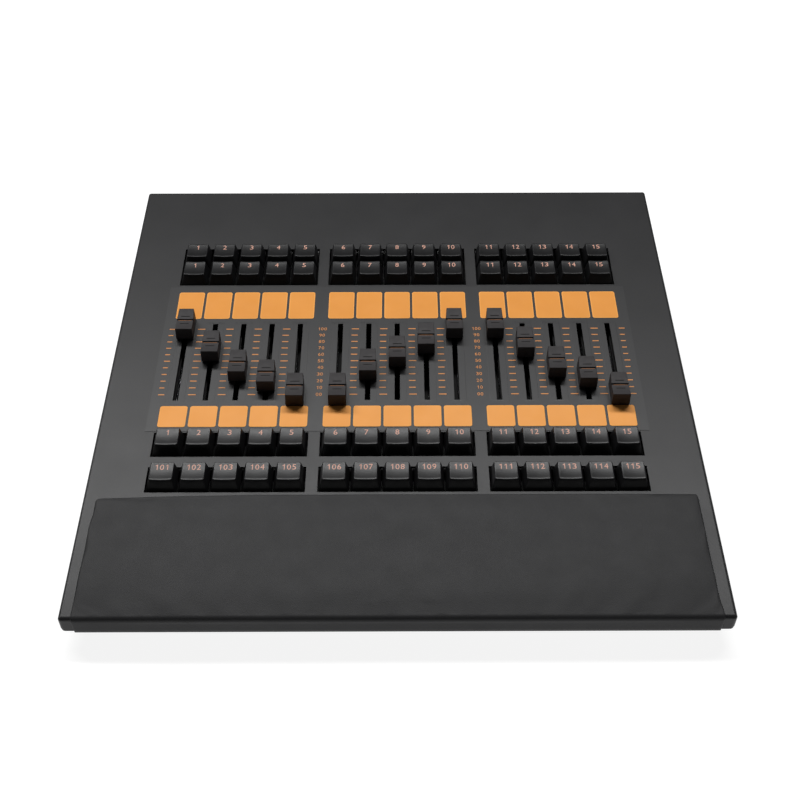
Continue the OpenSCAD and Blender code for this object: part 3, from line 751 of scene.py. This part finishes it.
def lettering(digit):
    """The points and faces of a flat numeral 1 high, with its foot's middle at the origin."""
    if digit == "1":
        points = [(x - ONE_MIDDLE, y) for x, y in ONE]
        return points, [list(range(len(points)))]
    curve = bpy.data.curves.new("lettering", "FONT")
    curve.body, curve.resolution_u = digit, 3
    holder = bpy.data.objects.new("lettering", curve)
    bpy.context.scene.collection.objects.link(holder)
    bpy.context.view_layer.update()
    shape = bpy.data.meshes.new_from_object(holder)
    bpy.data.objects.remove(holder)
    xs, ys = [v.co.x for v in shape.vertices], [v.co.y for v in shape.vertices]
    across, up = DIGIT_W / (max(xs) - min(xs)), 1 / (max(ys) - min(ys))
    middle = (max(xs) + min(xs)) / 2
    points = [((v.co.x - middle) * across, (v.co.y - min(ys)) * up) for v in shape.vertices]
    return points, [list(p.vertices) for p in shape.polygons]


DIGITS = {digit: lettering(digit) for digit in "0123456789"}


def write(mesh, text, height, x, y, surface):
    """Prints a number on a surface given by its height at a point, centred there."""
    for k, digit in enumerate(text):
        left = x + (k - (len(text) - 1) / 2) * DIGIT_STEP * height
        points, faces = DIGITS[digit]
        verts = []
        for px, py in points:
            px, py = left + px * height, y + (py - 0.5) * height
            verts.append(mesh.verts.new((px, py, surface(px, py) + INK)))
        for face in faces:
            mesh.faces.new([verts[k] for k in face])


# ---- Scales beside the faders ----

TICK_L, TICK_LONG, TICK_T = 4.2, 4.9, 0.75
END_TICK_SHORTER = 1.0
STEPS, LONG_EVERY = 10, 5
SCALE_H = 2.7
TICK_SHIFT, SCALE_SHIFT = 0.5, 1.4


def make_scales():
    mesh = bmesh.new()
    ends = (COLUMNS[0] - PITCH / 2, COLUMNS[-1] + PITCH / 2)
    inner = [c + PITCH / 2 for n, c in enumerate(COLUMNS, 1) if n % PER_BANK]
    for x in [*ends, *inner]:
        for k in range(STEPS + 1):
            y = FADER_ZERO + TRAVEL * k / STEPS
            length = (TICK_LONG if k % LONG_EVERY == 0 else TICK_L) - (END_TICK_SHORTER if x in ends else 0)
            left = x + TICK_SHIFT - TICK_LONG / 2
            corners = (left, y - TICK_T / 2, FILM_TOP), (left + length, y + TICK_T / 2, FILM_TOP + INK)
            add_box(mesh, *corners)
    for b in (0, 1):
        x = (COLUMNS[b * PER_BANK + PER_BANK - 1] + COLUMNS[(b + 1) * PER_BANK]) / 2 + SCALE_SHIFT
        for k in range(STEPS + 1):
            text = str(k * STEPS) if k else "00"
            write(mesh, text, SCALE_H, x, FADER_ZERO + TRAVEL * k / STEPS, lambda px, py: FILM_TOP)
    add_piece(mesh, "fader_scales", "scale_ink")


make_scales()

# ---- Keys ----

SIDE_SLOPE, FRONT_SLOPE, BACK_SLOPE = 2.2 / 8, 3.9 / 8, 0.5 / 8
DISH_R, DISH_DEPTH = 50, 0.45
LONG_R, LONG_DEPTH, LONG_MIDDLE = 58, 0.52, 3.3
CAP_WALL, CAP_ROOF, CAP_EDGE, CAP_CORNER = 1.2, 1.5, 0.45, 1.1
FOOT_INSIDE, FOOT_OUTSIDE, SHOULDER = 0.1, 0.12, 2.5
EDGE_STEPS = 4
# Down the cap's sides, the dish fades out between these heights
DISH_FADE = (CAP_TOP - 1.6, CAP_TOP - 0.4)


def dish(x, y):
    """How far the cap's top is pressed in, hollow both across and along. Its front edge stands highest."""
    across = DISH_DEPTH - (DISH_R - math.sqrt(DISH_R ** 2 - x * x))
    along = LONG_DEPTH - (LONG_R - math.sqrt(LONG_R ** 2 - (y - LONG_MIDDLE) ** 2))
    return max(0.0, across) + max(0.0, along)


def cap_ring(z, inset=0.0, shrink=1.0):
    """The cap's outline at a height, drawn in by an inset or shrunk towards its middle."""
    up = z - CAP_BOTTOM
    x1 = CAP_W / 2 - SIDE_SLOPE * up - inset
    y0 = -CAP_D / 2 + FRONT_SLOPE * up + inset
    y1 = CAP_D / 2 - BACK_SLOPE * up - inset
    ring = rounded_ring(-x1, x1, y0, y1, max(0.05, CAP_CORNER - inset * 0.5), 6)
    middle = (y0 + y1) / 2
    return [(x * shrink, middle + (y - middle) * shrink, z) for x, y in ring]


def cap_rings():
    """From the roof's underside down inside the cap, and up outside to the middle of its top."""
    rings = [cap_ring(CAP_TOP - CAP_ROOF, CAP_WALL, shrink=s) for s in (0.3, 1.0)]
    rings += [cap_ring(CAP_BOTTOM + FOOT_INSIDE, CAP_WALL), cap_ring(CAP_BOTTOM, CAP_WALL - FOOT_INSIDE)]
    rings += [cap_ring(CAP_BOTTOM, FOOT_OUTSIDE), cap_ring(CAP_BOTTOM + FOOT_OUTSIDE)]
    rings.append(cap_ring(CAP_TOP - SHOULDER))
    for k in range(EDGE_STEPS + 1):
        a = math.pi / 2 * k / EDGE_STEPS
        rings.append(cap_ring(CAP_TOP - CAP_EDGE * (1 - math.sin(a)), CAP_EDGE * (1 - math.cos(a))))
    return rings + [cap_ring(CAP_TOP, CAP_EDGE, shrink=s) for s in (0.86, 0.7, 0.5, 0.3, 0.1)]


def sunk(point):
    """A cap point with the dish pressed into the top, easing off down the sides."""
    x, y, z = point
    return x, y, z - dish(x, y) * eased(z, *DISH_FADE)


CAP_SHAPE = [[sunk(p) for p in ring] for ring in cap_rings()]
# The ring halfway round the cap's top edge, where its lighter rim, a painted highlight, starts
HIGHLIGHT_RIM_LOOP = 9


def add_cap(mesh, x, y):
    """A cap with a slightly lighter rim round its top, a painted highlight along its edge."""
    loops = loft(mesh, [[(x + px, y + py, pz) for px, py, pz in ring] for ring in CAP_SHAPE])
    for v in loops[HIGHLIGHT_RIM_LOOP]:
        for face in v.link_faces:
            if any(other in face.verts for other in loops[HIGHLIGHT_RIM_LOOP + 1]):
                face.material_index = 1


# Radius, low end and high end of the cap's boss, the slider and the slider's guide pin
STEM_ROUNDS = ((2.75, 1.3, CAP_TOP - CAP_ROOF), (3.2, -6.0, -2.8), (1.0, -8.0, -5.9))
STEM_SIDES = 20
CROSS_LONG, CROSS_THIN, CROSS_Z = 2.0, 0.6, (-3.0, 1.4)


def add_stem(mesh, x, y):
    """The round boss under the cap, the slider with its guide pin, and the slider's cross in the boss."""
    turns = [math.tau * k / STEM_SIDES for k in range(STEM_SIDES)]
    for radius, low, high in STEM_ROUNDS:
        ring = [(x + radius * math.cos(a), y + radius * math.sin(a)) for a in turns]
        loft(mesh, [[(px, py, z) for px, py in ring] for z in (low, high)])
    for w, d in ((CROSS_LONG, CROSS_THIN), (CROSS_THIN, CROSS_LONG)):
        add_box(mesh, (x - w, y - d, CROSS_Z[0]), (x + w, y + d, CROSS_Z[1]))


LEGEND_H, LEGEND_Y = 4.0, 5.0


def make_keys(node, keys):
    """The caps, stems and numerals of one body. keys holds each key's column, row and numeral."""
    caps, stems, prints = bmesh.new(), bmesh.new(), bmesh.new()
    for x, y, text in keys:
        add_cap(caps, x, y)
        add_stem(stems, x, y)
        write(prints, text, LEGEND_H, x, y + LEGEND_Y, lambda px, py: CAP_TOP - dish(px - x, py - y))
    # The caps' second material is their painted edge highlight
    piece = add_piece(caps, f"{node}_caps", ["key_black", "key_rim"], body=node, replaces=[node])
    smooth(piece, math.radians(50))
    smooth(add_piece(stems, f"{node}_stems", "switch_plastic", body=node))
    add_piece(prints, f"{node}_numerals", "legend_ink", body=node)


for n in NUMBERS:
    make_keys(f"key_{n}", [(COLUMNS[n - 1], SECOND_ROW, str(n))])
for b in range(BANKS):
    numbers = range(b * PER_BANK + 1, (b + 1) * PER_BANK + 1)
    make_keys(f"front_keys_{b + 1}", [(COLUMNS[n - 1], FRONT_ROW, str(100 + n)) for n in numbers])
    back_keys = [(COLUMNS[n - 1], row, str(n)) for n in numbers for row in (THIRD_ROW, BACK_ROW)]
    make_keys(f"upper_keys_{b + 1}", back_keys)

# ---- Faders ----

KNOB_W, KNOB_L = 11.6, KNOB_HIGH.y - KNOB_LOW.y
KNOB_TOP, KNOB_BOTTOM = KNOB_HIGH.z, 1.0
KNOB_SADDLE, KNOB_DRAFT, KNOB_TAPER, KNOB_LEAN = 1.0, 0.15, 0.6, 0.3
GROOVE_W, GROOVE_D = 1.0, 1.4


def knob_height(y):
    """Height of the hollowed top."""
    t = y / (KNOB_L / 2 - KNOB_DRAFT)
    return KNOB_TOP - KNOB_SADDLE * (1 - t * t)


def knob_outline():
    """The knob's side view, with the groove across its middle."""
    half, steps = KNOB_L / 2, 8
    top = [GROOVE_W / 2 + (half - KNOB_DRAFT - GROOVE_W / 2) * k / steps for k in range(steps + 1)]
    back = [(y, knob_height(y)) for y in reversed(top)]
    front = [(-y, knob_height(y)) for y in top]
    groove = knob_height(0) - GROOVE_D
    return [(-half, KNOB_BOTTOM), (half, KNOB_BOTTOM), *back,
            (GROOVE_W / 2, groove), (-GROOVE_W / 2, groove), *front]


def knob_taper(y):
    """How much narrower a side is towards the back end."""
    return KNOB_TAPER * max(0.0, y - GROOVE_W / 2) / (KNOB_L / 2)


def add_knob(mesh, x, y):
    draft = KNOB_LEAN / (KNOB_TOP - KNOB_BOTTOM)
    rings = []
    for side in (-1, 1):
        rings.append([(x + side * (KNOB_W / 2 - draft * (pz - KNOB_BOTTOM) - knob_taper(py)), y + py, pz)
                      for py, pz in knob_outline()])
    loft(mesh, rings)
    bmesh.ops.recalc_face_normals(mesh, faces=mesh.faces)


# The pale line lies just in front of the groove, and a darker mark lies nearer to each end
LINE_HALF, LINE_Y, LINE_AT, LINE_SINK, LINE_RISE = 4.4, (-0.98, -0.72), 0.7, 0.3, 0.02
MARK_YS, MARK_HALF, MARK_SINK, MARK_RISE = (3.1, -3.8), (2.9, 0.3), 0.3, 0.05
LEVER_HALF, LEVER_Z = (0.6, 4), (-13.2, KNOB_TOP - 4.1)
CARRIAGE_HALF, CARRIAGE_Z = (4, 7), (-15.5, -11.1)


def add_block(mesh, x, y, half, ends):
    """A box with its middle at x and y, from its half width and half length and its two heights."""
    add_box(mesh, (x - half[0], y - half[1], ends[0]), (x + half[0], y + half[1], ends[1]))


def make_fader(n):
    body, x, y = f"fader_{n}", COLUMNS[n - 1], fader_y(n)
    knob = bmesh.new()
    add_knob(knob, x, y)
    piece = add_piece(knob, f"{body}_knob", "knob_black", body=body, replaces=[body])
    ease_edges(piece, 0.35, 3, 35)
    apply_modifiers(piece)
    smooth(piece)
    lay_weighted_normals(piece)
    line = bmesh.new()
    top = knob_height(LINE_AT)
    line_low = (x - LINE_HALF, y + LINE_Y[0], top - LINE_SINK)
    line_high = (x + LINE_HALF, y + LINE_Y[1], top + LINE_RISE)
    add_box(line, line_low, line_high)
    add_piece(line, f"{body}_line", "knob_ink", body=body)
    marks = bmesh.new()
    for my in MARK_YS:
        h = knob_height(my)
        add_block(marks, x, y + my, MARK_HALF, (h - MARK_SINK, h + MARK_RISE))
    add_piece(marks, f"{body}_marks", "knob_mark", body=body)
    lever = bmesh.new()
    add_block(lever, x, y, LEVER_HALF, LEVER_Z)
    # The lever is near-black, a painted shade in the gap under the knob
    lever = add_piece(lever, f"{body}_lever", "inner_paint", body=body)
    ease_edges(lever, 0.15)
    apply_modifiers(lever)
    carriage = bmesh.new()
    add_block(carriage, x, y, CARRIAGE_HALF, CARRIAGE_Z)
    carriage = add_piece(carriage, f"{body}_carriage", "dust_flap", body=body)
    ease_edges(carriage, 0.4)
    apply_modifiers(carriage)


for n in NUMBERS:
    make_fader(n)

# ---- CAD nodes that are shown as they are ----

PLAIN_NODES = {
    "base_tray": ("tray_paint", 0.5),
    "rear_panel": ("tray_paint", 0.25),
    # The mounting plate and the fader bodies are near-black, a painted shade in the wells and the slots
    "mounting_plate": ("inner_paint", 0),
    "key_switches": ("switch_plastic", 0),
    "key_springs": ("spring_steel", 0),
    "front_key_board": ("board_green", 0),
    "rear_key_board": ("board_green", 0),
    "fader_board": ("board_green", 0),
    "fader_bodies": ("inner_paint", 0),
    "fader_rails": ("spring_steel", 0),
    "main_board": ("board_green", 0),
    "power_supply": ("board_tan", 0),
    "power_inlet": ("socket_black", 0.3),
    "power_rocker": ("socket_black", 0.4),
    "usb_socket": ("socket_metal", 0.2),
    "internal_wiring": ("cable_grey", 0),
    "support_posts": ("zinc_steel", 0),
    "spacers": ("brass", 0),
    "case_screws": ("screw_black", 0.2),
    "feet": ("foot_rubber", 0.8),
}


def dress(node, material, rounding):
    """Gives a CAD node its material, and a small rounding in millimetres to what is seen outside."""
    shown = frame["nodes"][node]
    shown.data.materials.clear()
    shown.data.materials.append(MATERIALS[material])
    if rounding:
        weld = shown.modifiers.new("weld", "WELD")
        weld.merge_threshold = 0.01 * MM
        ease_edges(shown, rounding)


for node, (material, rounding) in PLAIN_NODES.items():
    dress(node, material, rounding)

# ---- Stage ----

FLOOR_HALF, FLOOR_GLOW = 4000, 0.88
WORLD_MIRRORED, WORLD_SEEN = 0.05, 1.0
LIGHT_POWER, LIGHT_SIZE, LIGHT_POINT = 70, (3.2, 0.3), (-0.255, 1.384, 1.768)


def make_floor():
    mesh = bmesh.new()
    holed_sheet(mesh, [-FLOOR_HALF, FLOOR_HALF], [-FLOOR_HALF, FLOOR_HALF], [])
    data = bpy.data.meshes.new("floor")
    mesh.to_mesh(data)
    mesh.free()
    data.transform(UPRIGHT)
    floor = bpy.data.objects.new("floor", data)
    bpy.context.scene.collection.objects.link(floor)
    g = Graph("floor_paper")
    colour = g.mix(g.noise(900, 2), (0.24, 0.24, 0.24, 1), (0.28, 0.28, 0.28, 1))
    data.materials.append(g.finish(Base_Color=colour, Roughness=0.9, Emission_Color=(1, 1, 1, 1),
                                   Emission_Strength=FLOOR_GLOW, Specular_IOR_Level=0.1))


def add_light(name, power, size, point):
    """A soft box over the panel, facing the middle of its front edge, given in metres from there."""
    data = bpy.data.lights.new(name, "AREA")
    data.shape, data.size, data.size_y, data.energy = "RECTANGLE", size[0], size[1], power
    light = bpy.data.objects.new(name, data)
    bpy.context.scene.collection.objects.link(light)
    away = Vector(point).normalized()
    across = Vector((0, 1, 0)).cross(away).normalized()
    turn = Matrix((across, away.cross(across), away)).transposed()
    light.matrix_world = PANEL @ Matrix.Translation(point) @ turn.to_4x4()


def make_world():
    """Pale where the camera looks past the floor, and dark for what the desk mirrors."""
    world = bpy.data.worlds.new("world")
    bpy.context.scene.world = world
    world.use_nodes = True
    nodes, links = world.node_tree.nodes, world.node_tree.links
    background = nodes["Background"]
    background.inputs["Color"].default_value = (1, 1, 1, 1)
    seen = nodes.new("ShaderNodeLightPath")
    level = nodes.new("ShaderNodeMapRange")
    level.inputs["To Min"].default_value = WORLD_MIRRORED
    level.inputs["To Max"].default_value = WORLD_SEEN
    links.new(seen.outputs["Is Camera Ray"], level.inputs["Value"])
    links.new(level.outputs[0], background.inputs["Strength"])


make_floor()
make_world()
add_light("strip", LIGHT_POWER, LIGHT_SIZE, LIGHT_POINT)
bpy.context.scene.view_settings.view_transform = "Standard"
